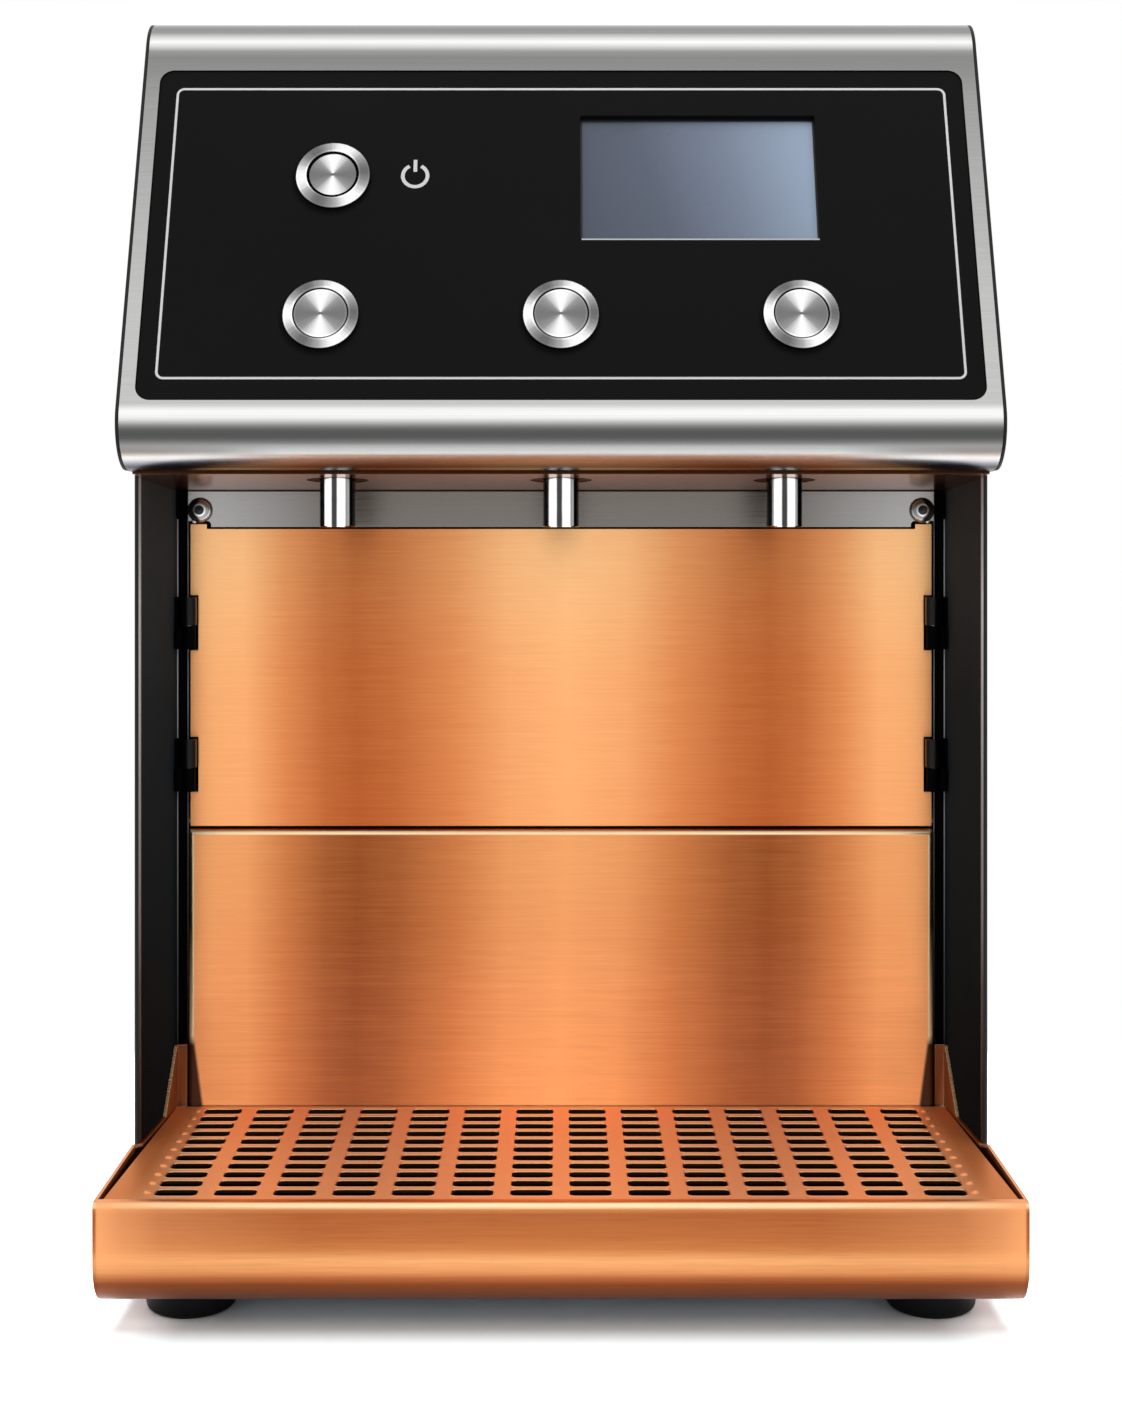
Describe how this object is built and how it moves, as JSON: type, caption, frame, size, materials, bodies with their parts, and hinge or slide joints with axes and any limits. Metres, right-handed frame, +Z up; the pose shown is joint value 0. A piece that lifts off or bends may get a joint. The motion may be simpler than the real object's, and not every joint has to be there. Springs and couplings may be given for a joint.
{
  "type": "mulled wine dispenser",
  "caption": "Counter-top hot drink dispenser with a leaning button fascia, pumped spouts, copper splash panels and a drip tray with a lift-out grille.",
  "frame": {"origin": "on the table under the middle of the overall box", "axes": "+X to the right seen from the front, +Y to the rear, +Z up"},
  "size_m": [0.4, 0.48, 0.595],
  "materials": {
    "copper": "horizontally brushed copper sheet",
    "brushed_steel": "horizontally brushed stainless sheet",
    "button_steel": "turned and spun stainless",
    "polished_steel": "polished stainless",
    "black_paint": "satin black powder coat",
    "black_fascia": "satin black",
    "black_plastic": "satin",
    "screen": "unlit display",
    "rubber": "matte",
    "hose": "translucent silicone",
    "plated_steel": "zinc plated",
    "stainless_inner": "plain stainless",
    "pump_plastic": "moulded",
    "motor_paint": "satin",
    "board": "solder mask"
  },
  "bodies": {
    "housing": {"base_plate": "plated_steel", "rubber_feet": "rubber", "foot_screws": "plated_steel", "left_side_panel": "black_paint", "right_side_panel": "black_paint", "rear_panel": "black_paint", "rear_screws": "plated_steel", "head_shell": "brushed_steel", "left_head_cheek": "black_paint", "right_head_cheek": "black_paint", "underside_plate": "brushed_steel", "spout_rail": "brushed_steel", "rail_screws": "polished_steel", "rail_carrier": "plated_steel", "hinge_frame_leaves": "black_paint", "hinge_pins": "plated_steel", "lower_splash_panel": "copper", "inner_bulkhead": "black_paint", "fascia_panel": "black_fascia", "display_module": "screen", "button_bezels": "button_steel", "power_ring": "black_plastic", "button_nuts": "plated_steel", "switch_bodies": "black_plastic", "left_spout": "polished_steel", "centre_spout": "polished_steel", "right_spout": "polished_steel", "spout_carrier": "plated_steel", "spout_nuts": "plated_steel", "spout_collars": "rubber", "heater_vessel": "stainless_inner", "heater_caps": "stainless_inner", "heating_element": "stainless_inner", "temperature_sensor": "stainless_inner", "heater_shelf": "plated_steel", "pump_heads": "pump_plastic", "pump_motors": "motor_paint", "pump_shelf": "plated_steel", "supply_hoses": "hose", "feed_hoses": "hose", "outlet_hoses": "hose", "inlet_fittings": "stainless_inner", "control_board": "board", "power_supply": "plated_steel", "mains_inlet": "black_plastic"},
    "power_cap": {"power_button": "button_steel", "power_spring": "plated_steel"},
    "left_cap": {"left_button": "button_steel", "left_spring": "plated_steel"},
    "centre_cap": {"centre_button": "button_steel", "centre_spring": "plated_steel"},
    "right_cap": {"right_button": "button_steel", "right_spring": "plated_steel"},
    "tray": {"drip_tray": "copper"},
    "grille": {"drip_grille": "copper"},
    "splash_door": {"upper_splash_panel": "copper", "hinge_panel_leaves": "black_paint"},
    "left_rotor": {"left_pump_rotor": "pump_plastic"},
    "centre_rotor": {"centre_pump_rotor": "pump_plastic"},
    "right_rotor": {"right_pump_rotor": "pump_plastic"}
  },
  "joints": [
    {"name": "power_press", "type": "slide", "parent": "housing", "child": "power_cap", "axis": [0, 0.9367, -0.3502], "range_m": [0, 0.002], "stiffness_N_per_m": 800},
    {"name": "left_press", "type": "slide", "parent": "housing", "child": "left_cap", "axis": [0, 0.9367, -0.3502], "range_m": [0, 0.002], "stiffness_N_per_m": 800},
    {"name": "centre_press", "type": "slide", "parent": "housing", "child": "centre_cap", "axis": [0, 0.9367, -0.3502], "range_m": [0, 0.002], "stiffness_N_per_m": 800},
    {"name": "right_press", "type": "slide", "parent": "housing", "child": "right_cap", "axis": [0, 0.9367, -0.3502], "range_m": [0, 0.002], "stiffness_N_per_m": 800},
    {"name": "tray_draw", "type": "slide", "parent": "housing", "child": "tray", "axis": [0, -1, 0], "range_m": [0, 0.155]},
    {"name": "grille_lift", "type": "slide", "parent": "tray", "child": "grille", "axis": [0, 0, 1], "range_m": [0, 0.06]},
    {"name": "door_swing", "type": "hinge", "parent": "housing", "child": "splash_door", "pos_m": [-0.186, -0.094, 0.2735], "axis": [0, 0, -1], "range_deg": [0, 100]},
    {"name": "left_pump_spin", "type": "hinge", "parent": "housing", "child": "left_rotor", "pos_m": [-0.1058, 0.11, 0.25], "axis": [1, 0, 0], "continuous": true},
    {"name": "centre_pump_spin", "type": "hinge", "parent": "housing", "child": "centre_rotor", "pos_m": [0, 0.11, 0.25], "axis": [1, 0, 0], "continuous": true},
    {"name": "right_pump_spin", "type": "hinge", "parent": "housing", "child": "right_rotor", "pos_m": [0.1058, 0.11, 0.25], "axis": [1, 0, 0], "continuous": true}
  ]
}
